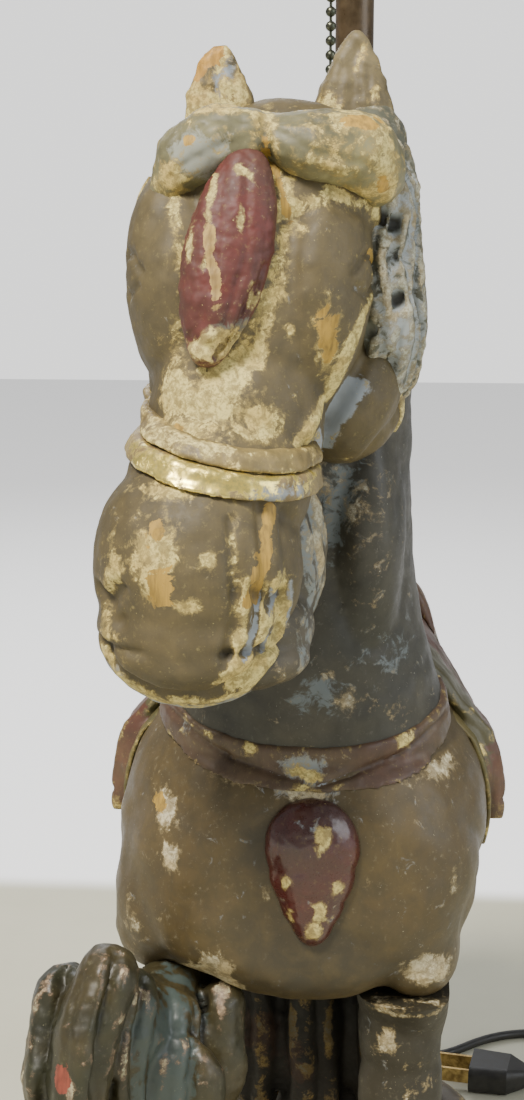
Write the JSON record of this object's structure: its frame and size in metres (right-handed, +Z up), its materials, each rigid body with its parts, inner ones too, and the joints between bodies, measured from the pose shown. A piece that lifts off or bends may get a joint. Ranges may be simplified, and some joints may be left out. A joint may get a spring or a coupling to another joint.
{
  "type": "table lamp",
  "caption": "Carved and painted wooden carousel-style horse, one foreleg raised, on an oval plinth, wired as a table lamp with a pull-chain socket and a bulb.",
  "frame": {"origin": "middle of the plinth's underside, on the table", "axes": "+Z up; the horse looks towards -Y and its left side is +X"},
  "size_m": [0.283, 0.3604, 0.62],
  "materials": {
    "plinth_paint": "worn dark paint",
    "horse_paint": "worn brown paint over white ground",
    "hair_paint": "worn grey-green paint",
    "strap_paint": "worn gold leaf",
    "red_paint": "worn dark red enamel",
    "blanket_paint": "worn green and gold paint",
    "bare_wood": "bare",
    "board": "hardboard",
    "steel": "zinc plated",
    "brown_pipe": "brown enamel",
    "brass": "aged",
    "paper": "fibre paper",
    "phenolic": "moulded",
    "bulb_glass": "frosted",
    "aluminium": "bright",
    "cord": "matt black",
    "plug": "moulded"
  },
  "bodies": {
    "lamp": {"bottom_cover": "board", "breast_collar": "red_paint", "breast_drop": "red_paint", "cantle": "red_paint", "centre_contact": "brass", "check_ring": "brass", "cheek_straps": "strap_paint", "cord_bushing": "plug", "cord_coil": "cord", "cover_screws": "steel", "dowels": "bare_wood", "ear_left": "horse_paint", "ear_right": "horse_paint", "foreleg_left": "horse_paint", "foreleg_right_lower": "horse_paint", "foreleg_right_upper": "horse_paint", "forelock": "hair_paint", "girth": "red_paint", "head": "horse_paint", "hind_leg_left": "horse_paint", "hind_leg_right": "horse_paint", "hoof_screws": "steel", "inner_cord": "cord", "insulator": "phenolic", "lamp_rod": "steel", "lower_jaw": "horse_paint", "mane": "hair_paint", "neck": "horse_paint", "nose_strap": "strap_paint", "noseband": "strap_paint", "plinth": "plinth_paint", "plug_blades": "brass", "plug_body": "plug", "plug_cord": "cord", "plume": "red_paint", "pommel": "red_paint", "power_cord": "cord", "rod_nut": "brass", "rod_sleeve": "brown_pipe", "rod_washer": "steel", "saddle": "red_paint", "saddle_blanket": "blanket_paint", "saddle_ferrule": "brass", "screw_shell": "brass", "set_screw": "steel", "shell_liner": "paper", "socket_cap": "brass", "socket_shell": "brass", "support": "plinth_paint", "switch_spring": "steel", "tail": "hair_paint", "terminal_screws": "brass", "trunk_left": "horse_paint", "trunk_right": "horse_paint"},
    "bulb": {"bulb_cap": "aluminium", "bulb_glass": "bulb_glass", "bulb_stem": "bulb_glass"},
    "chain": {"pull_chain": "brass"},
    "lever": {"switch_lever": "brass"},
    "rotor": {"switch_rotor": "brass"}
  },
  "joints": [
    {"name": "bulb_lift", "type": "slide", "parent": "lamp", "child": "bulb", "axis": [0, 0, 1], "range_m": [0, 0.028]},
    {"name": "chain_pull", "type": "slide", "parent": "lamp", "child": "chain", "axis": [0, 0, -1], "range_m": [0, 0.008], "stiffness_N_per_m": 150},
    {"name": "lever_swing", "type": "hinge", "parent": "lamp", "child": "lever", "pos_m": [0.012, 0, 0.501], "axis": [0.9501, -0.312, 0], "range_deg": [0, 21.5]},
    {"name": "rotor_turn", "type": "hinge", "parent": "lamp", "child": "rotor", "pos_m": [0.012, 0, 0.501], "axis": [0.9501, -0.312, 0], "continuous": true}
  ],
  "couplings": [
    {"joint": "lever_swing", "follows": "chain_pull", "rad_per_m": 46.512}
  ]
}
